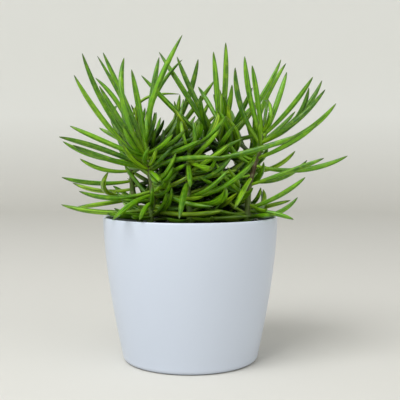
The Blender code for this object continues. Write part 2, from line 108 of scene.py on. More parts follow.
# Stalks
STEM_FOOT = HOLE_FLOOR + SEAT_GAP
STEM_BASE_RADIUS = 2.5 * MM
STEM_TOP_RADIUS = 1.4 * MM
STEM_STEP = 11 * MM
CURVE_STEPS = 16
BUD_LENGTH = 4 * MM
STALK_SIDES = 24
STALK_STEP = 0.9 * MM
COURSE_STEP = 1 * MM
BUD_SHARES = (0.3, 0.6, 0.85)
SCAR_STEP = 2.7 * MM
SCAR_LENGTH = 0.8 * MM
SCAR_DEPTH = 0.2 * MM
SCAR_NARROWNESS = 6
CUSHION_LENGTH = 1.5 * MM

# Leaves
LEAF_RADIUS = 2.3 * MM
LEAF_FULL_LENGTH = 66 * MM
EVEN_BEND = 0.5
LEAF_LONGEST_SHARE = 1.1
LEAF_SLIM = 0.7
LEAF_ROOT_SHARE = 0.55
LEAF_BELLY = 0.6
LEAF_TIP_POWER = 2.4
LEAF_TIP_ROUND = 0.65
LEAF_STATIONS = (0.0, 0.22, 0.5, 0.76, 0.93, 1.0)
SPIRAL_STATIONS = (0.0, 0.35, 0.72, 0.93, 1.0)
YOUNG_STATIONS = (0.0, 0.4, 0.82, 1.0)
GOLDEN_ANGLE = math.radians(137.508)
NEARLY_UP = (0.11, 0.07, 1)
# How upright a course is that counts as steep, and how far front to back one that lies so
STEEP = 0.9
FRONT_TO_BACK = 0.7
LEAF_SIDES = 16
LEAF_RINGS = (
    0, 0.03, 0.07, 0.12, 0.18, 0.24, 0.3, 0.36, 0.42, 0.48, 0.54, 0.6, 0.66, 0.71, 0.76, 0.8,
    0.84, 0.875, 0.905, 0.93, 0.95, 0.965, 0.98, 0.99,
)
LEAF_UPPER_FLATNESS = 0.82
LEAF_COURSE_STEPS = 60
LEAF_TONE = 0.48
LEAF_TONE_SPREAD = 0.27
LEAF_SEED = 5

# Room kept between a leaf and whatever it does not grow from
LEAF_GAP = 0.8 * MM
ROOT_RUN = 13 * MM
SAMPLES = 36
STEM_SAMPLES = 50
SIDE_BENDS = (0, 3, -3, 6, -6, 9, -9, 12, -12, 15, -15)
SAG_BENDS = (0, 2, -2)
LEAF_BEND_REACH = 25 * MM

# Leaves that only the scene has: a few that are given by their tips, and a seeded fill among the others
FURTHER_LEAVES = {
    "leafy_stem_front_left": (
        (140, -22.8, -36, 132.8, 1.5, 0.5, 1.15),
        (156, -48.3, 10, 196.2, 2, 0.5, 0.7),
        (157, -8.4, 15, 198.9, 0, 0.5, 0.8),
    ),
}
INNER_TRIES = 230
INNER_REACH = 56 * MM
INNER_HANG = 3 * MM
INNER_BENDS = (0, 3, -3, 6, -6)
INNER_HEIGHTS = (104 * MM, 160 * MM)
INNER_LIFTS = np.radians((-6, 48))
INNER_LENGTHS = (24 * MM, 48 * MM)
INNER_FRONT = -46 * MM
INNER_TOP = 186 * MM
INNER_SHARE = 0.9
INNER_GAP = 0.2 * MM

# Painted shade on the leaves deep in the plant and low over the mix, where little light reaches: the middle of
# each such part, its radius, its top, over how far it fades out, and how dark it is, from 0 to 1
PAINTED_SHADE_PARTS = (
    ((0, 12 * MM), 50 * MM, 180 * MM, 18 * MM, 0.9),
    ((0, 0), 66 * MM, 120 * MM, 11 * MM, 0.6),
)

# How brown a stalk is where it is brownest, above its middle, from 0 to 1, what share of that is left
# at its ends, and how far the brownest part is drawn up
COMMON_WOODINESS = 0.45
LEAST_WOODINESS = 0.2
WOODINESS_POWER = 0.7
WOODINESS = {"leafy_stem_front_right": 0.95, "leafy_stem_front_left": 0.6}

# Stage
FLOOR_GAP = 0.2 * MM
FLOOR_RINGS = (0.2, 0.6)
BACKDROP_CURVE = 0.5
BACKDROP_HEIGHT = 1.4
BACKDROP_STEPS = 16
BACKDROP_SIDES = 96
# Each soft light: its place, the side of its square, its power and its colour
LIGHTS = {
    "key": ((-0.8, -1.0, 1.7), 1.3, 36, (0.97, 0.985, 1.0)),
    "fill": ((1.2, -1.0, 0.8), 1.2, 4, (1.0, 0.98, 0.94)),
}
LIGHT_AIM = (0, 0, 0.12)
SKY_COLOUR = (0.97, 0.98, 1.0, 1)
SKY_STRENGTH = 0.5

# Camera: its focal length, and how far below and right of the eye's level line it aims, in pixels
VIEW_DISTANCE = 554 * MM
CAMERA_HEIGHT = 148.8 * MM
CAMERA_SENSOR = 36
PICTURE_WIDTH = 400
FOCAL_LENGTH = 740
AIM_DOWN = 39.8
AIM_RIGHT = 9.6

# Each stem: its course above the mix, its leaves, and how many more the spiral adds.
# A course point is x, y, z in millimetres.
# A leaf is the height of its root, its tip as x, y, z, and how far its middle hangs below
# the straight line from root to tip, all in millimetres. A negative hang is an arch.
# Two more values may follow: where along the leaf it bends most, and how much fuller it is.
# The spiral is its first bearing in degrees, its lowest and highest root and its count.
STEMS = {
    "leafy_stem_front_left": {
        "course": [(-30, -24, 98), (-27, -23, 120), (-29, -20, 138), (-31, -17, 150), (-32, -15, 161)],
        "leaves": [
            (144, -83.5, -18, 210, 4.2), (147, -77, -22, 225, 6), (149, -64, -30, 201, 1),
            (152, -68, -8, 225, -2, 0.5, 0.7), (156, -65, 2, 229, 0), (150, -47.3, -20, 222, 7, 0.55),
            (148, -41, -34, 212, -0.5), (155, -5.6, -16, 239, -7, 0.3), (158, -23, -2, 225, -1.5),
            (160, -6, 8, 224.5, -9, 0.6, 0.75), (149, -85, -30, 173, 0), (142, -91, -40, 165, -2.5),
            (143, -79, -55, 159, 2), (127, -79, -30, 127, 5), (114, -93, -22, 117, 4),
            (124, -52, -62, 109, -3), (118, -34, -60, 109, -3), (141, -20, -52, 134, -1),
            (139, 24, -52, 150.5, -6, 0.22), (131, 16, -46, 117, 4), (153, 4, -30, 166, 2),
            (150, 7, -42, 163, 2), (113, 22, -56, 115, 3), (107, -58, -42, 112, 1), (106, 18, -32, 110, 0),
            (108, -40, -54, 111, 1),
        ],
        "spiral": (60, 110, 156, 16),
    },
    "leafy_stem_back_left": {
        "course": [(-38, 16, 98), (-43, 16, 118), (-45, 15, 134), (-44, 14, 150), (-42, 14, 166)],
        "leaves": [
            (160, -73, 20, 212, -5.5), (159, -71, 25, 174, 0), (148, -96, 5, 163, 4),
            (141, -84, 10, 150, 4), (133, -97, 4, 136, 3), (127, -91, 18, 131.5, 4), (119, -87, 6, 113, 0),
            (107, 12, 24, 111, 1), (118, -60, 20, 129, 0), (108, -62, -8, 112, 1),
            (166, -8, 19, 199.5, -17, 0.4, 0.65),
        ],
        "spiral": (100, 106, 164, 24),
    },
    "leafy_stem_back_middle": {
        "course": [(-12, 26, 98), (-14, 26, 120), (-16, 22, 145), (-16, 19, 172)],
        "leaves": [
            (166, 6, 16, 226, 3), (164, 19, 26, 211, 0), (160, -8, 14, 199, 1), (108, 40, 38, 112, 1),
            (113, -50, 42, 120, 2), (112, -44, 0, 121, 1), (116, 30, 16, 119, 2), (122, -40, 6, 132, 2),
            (119, 42, 42, 131, 2), (126, -50, 44, 142, 2), (134, 36, 46, 155, 2), (142, -42, 46, 165, 1),
            (150, 28, 27, 178, 1), (157, 21, 30, 185, 1), (144, 36, 22, 170, 1),
        ],
        "spiral": (80, 105, 170, 32),
    },
    "leafy_stem_middle_right": {
        "course": [(16, 8, 98), (18, 9, 120), (21, 8, 145), (23, 6, 176)],
        "leaves": [
            (160, 17.2, 4, 230, -0.7), (166, 26.8, 12, 238, 1.8), (164, 30.5, -10, 204, 1.5),
            (158, -24.1, 20, 232, -0.3), (163, -10, 2, 226, 2), (154, -36.9, 6, 212.5, 0.5),
            (174, 6, 26, 206, -1), (150, 7, -24, 195, 3), (160, 68.2, 6, 224.5, 4.6), (113, 43, -6, 119, 1),
            (121, -26, -8, 140, 3), (127, 50, 20, 152, 2), (135, -20, 36, 160, 1), (106, -38, 4, 111, 0),
            (163, 54.6, 10, 169.5, 1), (168, 47, 14, 190, 1),
        ],
        "spiral": (45, 105, 168, 32),
    },
    "leafy_stem_back_right": {
        "course": [(34, 22, 98), (38, 23, 118), (44, 24, 138), (48, 24, 162)],
        "leaves": [
            (160, 74.3, 24, 224, -4), (140, 80, 10, 156, 5), (133, 91, 22, 149, 7), (107, 77, 13, 118, 0),
            (112, 54, 12, 128, 5), (158, 82, 26, 187, 2), (111, -12, 54, 118, 1), (143, 8, 8, 172, 2),
            (116, 2, 50, 126, 2), (125, 6, 50, 142, 2),
        ],
        "spiral": (70, 105, 160, 24),
    },
    "leafy_stem_front_right": {
        "course": [(41, -23, 98), (42, -21, 127), (46, -18, 143), (50, -16, 155), (53, -14.5, 170)],
        "leaves": [
            (160, 32, -22, 215, 5), (164, 39.3, -14, 224, 2.2), (167, 43.7, -26, 216, -0.3),
            (160, 71.3, -4, 214, 1), (166, 87, -26, 208, 2), (162, 82, -40, 199, 8), (162, 96, -12, 207, 6),
            (161, 94.8, -32, 198.5, 3), (158, 103, -30, 189, 6.3), (150, 88, -42, 174, 2),
            (145, 112, -28, 152, 6.5), (131, 93, -40, 150.3, 0.5), (114, 80, -40, 137, 2.5),
            (136, 30, -54, 116, -2), (148, 13, -10, 165, 1), (165, 58, 2, 195, 0, 0.5, 0.7),
            (110, 78, -18, 122, 6), (112, 73, -34, 107, -2), (107, 0, -10, 111, 0), (107, 56, -50, 111, 1),
        ],
        "spiral": (60, 106, 160, 18),
    },
    "leafy_stem_front_middle": {
        "course": [(0, -28, 98), (-1, -28, 118), (-2, -27, 138), (-1, -26, 154)],
        "leaves": [
            (140, 27, -46, 160, 1), (146, 0, -66, 131, -2), (132, -7.5, -66, 110, -4, 0.3, 1.15),
            (118, 23, -66, 131, 3, 0.5, 1.3), (112, 24, -52, 127, 2), (122, 43, -50, 148, 5),
            (136, 33, -34, 142, 1), (148, 13, -84, 144, 2), (147, 76, -42, 167, 3), (110, -38, -12, 116, 1),
            (106, 42, -42, 110, 0), (107, -16, -60, 110, 0), (108, 14, -61, 111, 0),
        ],
        "spiral": (20, 106, 152, 20),
    },
}

# The spiral's leaves: nearly level low on the stem, steep and shorter near its top.
# They stay inside the outline that the placed leaves give.
SPIRAL_LOW_LIFT = math.radians(6)
SPIRAL_TOP_LIFT = math.radians(60)
SPIRAL_LONG = 60 * MM
SPIRAL_SHORT = 48 * MM
SPIRAL_HANG = 4 * MM
SPIRAL_TURNS = np.radians((0, 15, -15, 30, -30, 50, -50, 75, -75, 100, -100, 130, -130, 180))
SPIRAL_REACH = 60 * MM
SPIRAL_TOP = 206 * MM
FRONT_ROW = -22 * MM
FRONT_LIMIT = 0.3

# Openings that stay clear of grown leaves, as they line up from straight in front:
# x and z of the middle and the radius, in millimetres.
VIEW_HEIGHT = 149 * MM
OPENINGS = (
    (-57.9, 146.7, 2.6), (-49.7, 138.5, 3), (-37, 137, 3), (-40.7, 126.5, 2), (-49.7, 126.5, 2.2),
    (-59.4, 115.3, 2.2), (-32.5, 115.3, 1.9), (-2.5, 179.6, 2.6), (1.2, 183.4, 2.2), (16.9, 184.1, 2.2),
    (12.4, 178.9, 2.2), (13.2, 155.7, 2.2), (40.1, 171.4, 2), (37.5, 156.5, 1.6), (43.9, 160.9, 1.2),
    (30.4, 146, 1.4), (49.1, 122.8, 2.6), (49.1, 129.5, 2), (63.3, 151.2, 3), (63.3, 133.2, 2.4),
    (55.1, 184.1, 2.6), (-13.8, 205.8, 5.2), (-18.3, 191.6, 3.4), (4.9, 193.9, 2.6), (-36.2, 196, 4),
    (61.8, 193.9, 3), (32.6, 189.4, 1.8), (-54.2, 195.4, 3), (-45.2, 200, 3), (-22.8, 185.1, 2.5),
    (-15.3, 182.1, 2.5),
)

# Young leaves round the bud
YOUNG_COUNT = 4
YOUNG_LENGTH = 24 * MM
YOUNG_LIFT = math.radians(72)
YOUNG_RADIUS = 1.5 * MM
YOUNG_HANG = 1 * MM


# The growing rule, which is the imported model's down to the young leaves


def unit(vector):
    """A vector at length one."""
    return vector / np.linalg.norm(vector)


def unit_rows(rows):
    """Rows of x, y and z, each at length one."""
    return rows / np.maximum(np.linalg.norm(rows, axis=1), NEXT_TO_NOTHING)[:, None]


def runs_along(points):
    """How far each point of a line lies along it."""
    return np.concatenate([[0], np.cumsum(np.linalg.norm(np.diff(points, axis=0), axis=1))])


def on_line(places, runs, points):
    """The points of a line, or what belongs to them, at places along it."""
    return np.stack([np.interp(places, runs, points[:, axis]) for axis in range(3)], axis=-1)


def smooth_course(points, step):
    """Points at even steps along a smooth curve through the given ones."""
    points = np.array(points, float) * MM
    padded = np.vstack([2 * points[0] - points[1], points, 2 * points[-1] - points[-2]])
    fine = []
    for k in range(1, len(padded) - 2):
        a, b, c, d = padded[k - 1 : k + 3]
        for t in np.linspace(0, 1, CURVE_STEPS, endpoint=False):
            bend = 2 * b + (c - a) * t + (2 * a - 5 * b + 4 * c - d) * t**2 + (3 * b - a - 3 * c + d) * t**3
            fine.append(bend / 2)
    fine = np.array(fine + [points[-1]])
    runs = runs_along(fine)
    places = np.linspace(0, runs[-1], round(runs[-1] / step) + 1)
    return on_line(places, runs, fine)


def stem_centres(course, step):
    """Centres of a stem, from its foot in the mix to the point of its bud."""
    above = smooth_course(course, step)
    foot = (*above[0][:2], STEM_FOOT)
    bud = above[-1] + BUD_LENGTH * unit(above[-1] - above[-2])
    return np.vstack([foot, above, bud])


def stem_line(course):
    """Centres and radii of a stem."""
    centres = stem_centres(course, STEM_STEP)
    radii = np.linspace(STEM_BASE_RADIUS, STEM_TOP_RADIUS, len(centres) - 2)
    return centres, np.concatenate([[STEM_BASE_RADIUS], radii, [0]])


def leaf_radii(shares, fullest):
    """Radius of a leaf at shares of its length: slimmer at its root, fullest past its middle, pointed."""
    shares = np.asarray(shares, float)
    swelling = LEAF_ROOT_SHARE + (1 - LEAF_ROOT_SHARE) * np.sin(math.pi / 2 * shares / LEAF_BELLY)
    past_belly = np.clip((shares - LEAF_BELLY) / (1 - LEAF_BELLY), 0, 1)
    drawn_out = (1 - past_belly**LEAF_TIP_POWER) ** LEAF_TIP_ROUND
    return fullest * np.where(shares < LEAF_BELLY, swelling, drawn_out)


def bend_side(chord):
    """The level direction that a leaf can bend aside to: front to back where it lies across."""
    along = unit(chord)
    side = np.array((0, 1, 0) if abs(along[1]) < FRONT_TO_BACK else (1, 0, 0), float)
    return unit(side - along * np.dot(side, along))


def leaf_line(root, tip, hang, aside, bend_at, shares):
    """Centres of a leaf: one bend from root to tip, hung below and bent aside by so much."""
    shares = np.asarray(shares, float)[:, None]
    chord = tip - root
    across = bend_side(chord)
    below = unit(np.cross(chord, across))
    if below[2] > 0:
        below = -below
    middle = root + bend_at * chord + 2 * (hang * below + aside * across)
    return (1 - shares) ** 2 * root + 2 * shares * (1 - shares) * middle + shares**2 * tip


def balls(centres, radii, count):
    """Balls evenly along a line of centres: where they are, their radii and how far along they lie."""
    runs = runs_along(centres)
    places = np.linspace(0, runs[-1], count)
    return on_line(places, runs, centres), np.interp(places, runs, radii), places


class Room:
    """The room that stems and leaves already take, and what is still clear."""

    def __init__(self):
        self.points = np.zeros((0, 3))
        self.radii = np.zeros(0)
        self.owners = np.zeros(0, int)
        self.runs = np.zeros(0)

    def take(self, points, radii, owner, runs):
        """Mark a line of balls as taken. runs holds how far each lies from its root."""
        self.points = np.vstack([self.points, points])
        self.radii = np.concatenate([self.radii, radii])
        self.owners = np.concatenate([self.owners, np.full(len(points), owner)])
        self.runs = np.concatenate([self.runs, runs])

    def near(self, root, tip):
        """The part of what is taken that a leaf from root to tip could meet."""
        reach = np.linalg.norm(tip - root) / 2 + LEAF_BEND_REACH
        close = np.linalg.norm(self.points - (root + tip) / 2, axis=1) < reach
        nearby = Room()
        nearby.take(self.points[close], self.radii[close], 0, self.runs[close])
        nearby.owners = self.owners[close]
        return nearby

    def clearance(self, points, radii, owner, runs):
        """The least gap from a line of balls to what it does not grow from."""
        ours, theirs = ((line**2).sum(axis=1) for line in (points, self.points))
        square = ours[:, None] + theirs - 2 * points @ self.points.T
        gaps = np.sqrt(np.maximum(square, 0)) - radii[:, None] - self.radii
        near_root = (runs[:, None] < ROOT_RUN) | (self.runs < ROOT_RUN)
        gaps[near_root & (self.owners == owner)] = np.inf
        return gaps.min(initial=np.inf)


def pot_and_mix_gap(points, radii):
    """The least gap from a line of balls to the planter and the mix."""
    spread = np.hypot(points[:, 0], points[:, 1])
    over_rim = points[:, 2] - POT_HEIGHT - radii
    outside = spread - POT_RIM_RADIUS - radii
    inside = POT_RIM_RADIUS - POT_WALL - spread - radii
    above_mix = points[:, 2] - (MIX_EDGE_HEIGHT + MIX_CROWN + MIX_RELIEF) - radii
    within = np.minimum(inside, above_mix)
    return float(np.max([over_rim, outside, within], axis=0).min())


def shades_opening(points, radii):
    """Whether a line of balls covers a part of an opening."""
    nearness = VIEW_DISTANCE / (VIEW_DISTANCE + points[:, 1])
    across = points[:, 0] * nearness
    height = VIEW_HEIGHT + (points[:, 2] - VIEW_HEIGHT) * nearness
    x, z, opening_radii = np.transpose(OPENINGS)[:, :, None] * MM
    return (np.hypot(across - x, height - z) < radii + opening_radii).any()


def grow_leaf(
    room, owner, root, tip, hang, fullest, stations,
    bend_at=EVEN_BEND, keep_open=True, gap=LEAF_GAP, side_bends=SIDE_BENDS,
):
    """The first bend that is clear of everything else, or None."""
    nearby = room.near(root, tip)
    for lower in SAG_BENDS:
        for aside in side_bends:
            course = leaf_line(root, tip, hang + lower * MM, aside * MM, bend_at, stations)
            line, radii, runs = balls(course, leaf_radii(stations, fullest), SAMPLES)
            if pot_and_mix_gap(line, radii) < gap or (keep_open and shades_opening(line, radii)):
                continue
            if nearby.clearance(line, radii, owner, runs) >= gap:
                room.take(line, radii, owner, runs)
                bend = {"hang": hang + lower * MM, "aside": aside * MM, "bend_at": bend_at}
                return {"root": root, "tip": tip, "fullest": fullest, **bend}
    return None


def on_stem(line, height):
    """The point of a stem's centre line at a height."""
    return on_line(height, line[:, 2], line)


def leaf_fullness(root, tip):
    """Longer leaves are a little fuller."""
    share = min(LEAF_LONGEST_SHARE, np.linalg.norm(tip - root) / LEAF_FULL_LENGTH)
    return LEAF_RADIUS * (LEAF_SLIM + (1 - LEAF_SLIM) * share)


def bearing_to(bearing, lift):
    """A direction from a bearing round the stem and a lift above level."""
    level = math.cos(lift)
    return np.array((level * math.cos(bearing), level * math.sin(bearing), math.sin(lift)))


def placed_leaves(room, owner, line, rows):
    """The leaves whose tips are given."""
    grown = []
    for height, x, y, z, hang, *more in rows:
        root = on_stem(line, height * MM)
        tip = np.array((x, y, z)) * MM
        bend_at, fuller = (*more, *(EVEN_BEND, 1)[len(more) :])
        fullest = fuller * leaf_fullness(root, tip)
        sag = hang * MM
        leaf = grow_leaf(room, owner, root, tip, sag, fullest, LEAF_STATIONS, bend_at, keep_open=False)
        grown.append(leaf)
    return grown


def spiral_leaves(room, owner, line, spiral):
    """More leaves at the golden angle round the back of a stem, each where it finds room."""
    start, lowest, highest, count = spiral
    faces_front = line[0][1] < FRONT_ROW
    grown = []
    for k in range(count):
        share = k / (count - 1)
        root = on_stem(line, (lowest + (highest - lowest) * share) * MM)
        lift = SPIRAL_LOW_LIFT + (SPIRAL_TOP_LIFT - SPIRAL_LOW_LIFT) * share
        length = SPIRAL_LONG + (SPIRAL_SHORT - SPIRAL_LONG) * share
        for turned in SPIRAL_TURNS:
            bearing = math.radians(start) + k * GOLDEN_ANGLE + turned
            tip = root + length * bearing_to(bearing, lift)
            in_front = faces_front and math.sin(bearing) < FRONT_LIMIT
            if in_front or abs(tip[0]) > SPIRAL_REACH or tip[2] > SPIRAL_TOP:
                continue
            leaf = grow_leaf(room, owner, root, tip, SPIRAL_HANG, leaf_fullness(root, tip), SPIRAL_STATIONS)
            if leaf:
                grown.append(leaf)
                break
    return grown


def young_leaves(room, owner, line):
    """Short upright leaves round the bud."""
    grown = []
    root = line[-2]
    for k in range(YOUNG_COUNT):
        for turned in SPIRAL_TURNS:
            tip = root + YOUNG_LENGTH * bearing_to(k * GOLDEN_ANGLE + turned, YOUNG_LIFT)
            leaf = grow_leaf(room, owner, root, tip, YOUNG_HANG, YOUNG_RADIUS, YOUNG_STATIONS)
            if leaf:
                grown.append(leaf)
                break
    return grown


def inner_leaves(room, owner, line):
    """Leaves that only the scene has: they thicken the inside of the plant, each where it finds room."""
    chance = np.random.default_rng(owner)
    grown = []
    for _ in range(INNER_TRIES):
        root = on_stem(line, chance.uniform(*INNER_HEIGHTS))
        bearing, lift = chance.uniform(0, math.tau), chance.uniform(*INNER_LIFTS)
        tip = root + chance.uniform(*INNER_LENGTHS) * bearing_to(bearing, lift)
        if tip[1] < INNER_FRONT or abs(tip[0]) > INNER_REACH or tip[2] > INNER_TOP:
            continue
        fullest = INNER_SHARE * leaf_fullness(root, tip)
        leaf = grow_leaf(
            room, owner, root, tip, INNER_HANG, fullest, SPIRAL_STATIONS, gap=INNER_GAP, side_bends=INNER_BENDS
        )
        if leaf:
            grown.append(leaf)
    return grown


def grow_plant():
    """Every stem's line and leaves, worked out together so that no two stems cross."""
    room = Room()
    lines = {}
    for owner, (name, stem) in enumerate(STEMS.items()):
        lines[name], radii = stem_line(stem["course"])
        points, thick, _ = balls(lines[name][1:-1], radii[1:-1], STEM_SAMPLES)
        room.take(points, thick, owner, np.zeros(STEM_SAMPLES))
    plant = {name: [] for name in STEMS}
    for owner, (name, stem) in enumerate(STEMS.items()):
        plant[name] += placed_leaves(room, owner, lines[name], stem["leaves"])
    for owner, (name, stem) in enumerate(STEMS.items()):
        plant[name] += young_leaves(room, owner, lines[name])
        plant[name] += spiral_leaves(room, owner, lines[name], stem["spiral"])
    for owner, name in enumerate(STEMS):
        plant[name] += placed_leaves(room, owner, lines[name], FURTHER_LEAVES.get(name, ()))
    for owner, name in enumerate(STEMS):
        plant[name] += inner_leaves(room, owner, lines[name])
    return {name: [leaf for leaf in leaves if leaf] for name, leaves in plant.items()}


PLANT = grow_plant()


# Colours and sizes that a user would change


def linear(hex_colour):
    """An sRGB hex colour as linear red, green and blue."""
    parts = [int(hex_colour[k : k + 2], 16) / 255 for k in (1, 3, 5)]
    return tuple(part / 12.92 if part <= 0.04045 else ((part + 0.055) / 1.055) ** 2.4 for part in parts)


def colour_setting(name, description, hex_colour):
    """A colour that a user can change, with its default."""
    return FloatVectorProperty(
        name=name, description=description, subtype="COLOR", size=3, min=0, max=1, default=linear(hex_colour)
    )


def length_setting(name, description, default, least, most):
    """A length that a user can change, with its default and its limits."""
    return FloatProperty(
        name=name, description=description, unit="LENGTH", default=default, min=least, max=most
    )


class SenecioSizes(bpy.types.PropertyGroup):
    """Sizes of the planter, the mix, the leaves and the floor."""

    wall: length_setting(
        "Planter wall", "Thickness of the planter's wall at its rounded rim", POT_WALL, 1 * MM, 5 * MM
    )
    relief: length_setting(
        "Mix relief", "How far the small lumps of the potting mix rise and fall", 0.9 * MM, 0, 3 * MM
    )
    crumb_size: length_setting(
        "Crumb size", "Width of the largest bark crumbs on the mix", 4.2 * MM, 1 * MM, 8 * MM
    )
    crumb_count: IntProperty(
        name="Crumbs", description="How many crumbs lie on the mix", default=420, min=0, max=1500
    )
    cushion: length_setting(
        "Leaf cushion", "How far the stalk swells under the root of a leaf", 0.3 * MM, 0, 1.5 * MM
    )
    leaf_plumpness: FloatProperty(
        name="Leaf plumpness",
        description="Thickness of the leaves against that of the packed model",
        subtype="FACTOR",
        default=0.92,
        min=0.6,
        max=1.3,
    )
    floor_radius: length_setting(
        "Floor radius", "How far the floor reaches before it curves up into the backdrop", 1.6, 1, 4
    )


class SenecioColours(bpy.types.PropertyGroup):
    """Colours of the planter, the mix, the plant and the stage."""

    planter: colour_setting("Planter", "The planter's cool white plastic", "#C5CDDB")
    peat: colour_setting("Peat", "The damp peat of the potting mix", "#2A1C13")
    bark: colour_setting("Bark", "The bark crumbs on the potting mix", "#5A3E28")
    leaf: colour_setting("Leaf", "The green of a grown leaf", "#6AA510")
    leaf_dark: colour_setting("Leaf streaks", "The darker lengthwise streaks in a leaf", "#1E4A06")
    leaf_fresh: colour_setting("Fresh leaf", "The yellow-green of a young leaf", "#A6CC28")
    # Painted shade: this deep green is laid over leaves deep in the plant and low over the mix
    painted_leaf_shade: colour_setting("Shaded leaf", "The deep green of old leaves inside the plant", "#0A2405")
    leaf_tip: colour_setting("Leaf tip", "The olive point of a leaf", "#35400F")
    stalk: colour_setting("Stalk", "The green of a stalk", "#557A22")
    stalk_woody: colour_setting("Woody stalk", "The brown of an older stalk", "#4A3620")
    scar: colour_setting("Leaf scar", "The dry scar that a fallen leaf leaves", "#94906A")
    floor: colour_setting("Floor", "The plain pale floor", "#D3D1CA")
    backdrop: colour_setting("Backdrop", "The plain backdrop that the floor curves up to", "#ECECE7")


# Modelling


def draw_rings(name, sides, rings):
    """Model a round piece: a disc whose edge is extruded and resized ring by ring and merged at its end."""
    radius, height = rings[0]
    bpy.ops.object.select_all(action="DESELECT")
    bpy.ops.mesh.primitive_circle_add(vertices=sides, radius=radius, fill_type="TRIFAN")
    piece = bpy.context.object
    piece.name = piece.data.name = name
    bpy.ops.object.mode_set(mode="EDIT")
    bpy.ops.mesh.select_all(action="SELECT")
    bpy.ops.transform.translate(value=(0, 0, height))
    bpy.ops.mesh.region_to_loop()
    for next_radius, next_height in rings[1:]:
        rise = {"value": (0, 0, next_height - height)}
        bpy.ops.mesh.extrude_edges_move(TRANSFORM_OT_translate=rise)
        if next_radius == 0:
            bpy.ops.mesh.merge(type="CENTER")
            break
        share = next_radius / radius
        bpy.ops.transform.resize(value=(share, share, 1), center_override=(0, 0, next_height))
        radius, height = next_radius, next_height
    bpy.ops.mesh.select_all(action="SELECT")
    bpy.ops.mesh.normals_make_consistent(inside=False)
    bpy.ops.object.mode_set(mode="OBJECT")
    return piece


def corners_of(mesh):
    """A mesh's corners as rows of x, y and z."""
    flat = np.zeros(len(mesh.vertices) * 3)
    mesh.vertices.foreach_get("co", flat)
    return flat.reshape(-1, 3)


def move_corners(mesh, places):
    """Put a mesh's corners at new places."""
    mesh.vertices.foreach_set("co", np.asarray(places, float).ravel())
    mesh.update()


def mark(mesh, name, values):
    """Give each corner of a mesh a number, or a row of three, that its material reads."""
    values = np.asarray(values, float)
    kind = "FLOAT" if values.ndim == 1 else "FLOAT_VECTOR"
    layer = mesh.attributes.new(name, kind, "POINT")
    layer.data.foreach_set("value" if values.ndim == 1 else "vector", values.ravel())


def copy_piece(piece, name):
    """A copy of a piece with a mesh of its own."""
    twin = piece.copy()
    twin.data = piece.data.copy()
    twin.name = twin.data.name = name
    bpy.context.scene.collection.objects.link(twin)
    return twin


def pick(pieces):
    """Select these pieces alone, and make the first one active."""
    bpy.ops.object.select_all(action="DESELECT")
    for piece in pieces:
        piece.select_set(True)
    bpy.context.view_layer.objects.active = pieces[0]


def join_pieces(pieces, name):
    """Join pieces into one with that name."""
    pick(pieces)
    bpy.ops.object.join()
    joined = bpy.context.object
    joined.name = joined.data.name = name
    return joined


def remove_pieces(pieces):
    """Take away the pieces that were only models for copies."""
    for piece in pieces:
        bpy.data.objects.remove(piece, do_unlink=True)


def finish_piece(piece, material, slot, *nodes):
    """Shade a piece smooth, give it its material, hang it under the root body and hide the nodes that it
    stands for.
    """
    pick([piece])
    bpy.ops.object.shade_smooth()
    piece.data.materials.clear()
    piece.data.materials.append(material)
    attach(piece, "root")
    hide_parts(*nodes)


# Materials

# Sockets of a Mix node that blends colours, because it has others by the same names
MIX_SHARE, MIX_UNDER, MIX_OVER, MIX_RESULT = 0, 6, 7, 2


def set_inputs(node, inputs):
    """Give a node its inputs: each is a value, or another node's output that is linked to it."""
    for place, value in dict(inputs).items():
        if isinstance(value, bpy.types.NodeSocket):
            node.id_data.links.new(value, node.inputs[place])
        else:
            node.inputs[place].default_value = value


def add_node(tree, kind, output, inputs=(), stops=(), **settings):
    """Add a node with its settings, inputs and colour stops, and hand on the output that is asked for."""
    made = tree.nodes.new("ShaderNode" + kind)
    for name, value in settings.items():
        setattr(made, name, value)
    set_inputs(made, inputs)
    for k, (place, colour) in enumerate(stops):
        ramp = made.color_ramp.elements
        stop = ramp[k] if k < 2 else ramp.new(place)
        stop.position = place
        stop.color = (*colour, 1)
    return made.outputs[output]


def new_material(name):
    """An empty Principled material: its tree and its shader."""
    material = bpy.data.materials.new(name)
    material.use_nodes = True
    return material, material.node_tree, material.node_tree.nodes["Principled BSDF"]


def white_planter(colours):
    """Polypropylene, injection moulded: a clean gloss whose reflections waver slightly over the wall."""
    material, tree, shader = new_material("white_planter")
    place = add_node(tree, "TexCoord", "Object")
    # Moulding sinks are some 30 mm across and under a tenth of a millimetre deep.
    sinks = add_node(tree, "TexNoise", "Fac", {"Vector": place, "Scale": 33, "Detail": 1})
    bump = {"Height": sinks, "Strength": 0.15, "Distance": 0.4 * MM}
    normal = add_node(tree, "Bump", "Normal", bump)
    white = (*colours.planter, 1)
    set_inputs(shader, {"Base Color": white, "Roughness": 0.3, "IOR": 1.49, "Normal": normal})
    return material


def potting_mix(colours):
    """Damp peat and bark fines, poured loose: nearly black hollows and browner, dry high spots."""
    material, tree, shader = new_material("potting_mix")
    place = add_node(tree, "TexCoord", "Object")
    # Fines are about 1 mm, and damp patches about 15 mm.
    fines = add_node(tree, "TexNoise", "Fac", {"Vector": place, "Scale": 900, "Detail": 3})
    patches = add_node(tree, "TexNoise", "Fac", {"Vector": place, "Scale": 70, "Detail": 2})
    both = add_node(tree, "Math", "Value", {0: fines, 1: patches}, operation="MULTIPLY")
    stops = ((0.12, [part * 0.45 for part in colours.peat]), (0.28, colours.peat), (0.48, colours.bark))
    brown = add_node(tree, "ValToRGB", "Color", {"Fac": both}, stops)
    bump = {"Height": fines, "Strength": 0.8, "Distance": 0.8 * MM}
    normal = add_node(tree, "Bump", "Normal", bump)
    set_inputs(shader, {"Base Color": brown, "Roughness": 0.95, "Normal": normal})
    return material


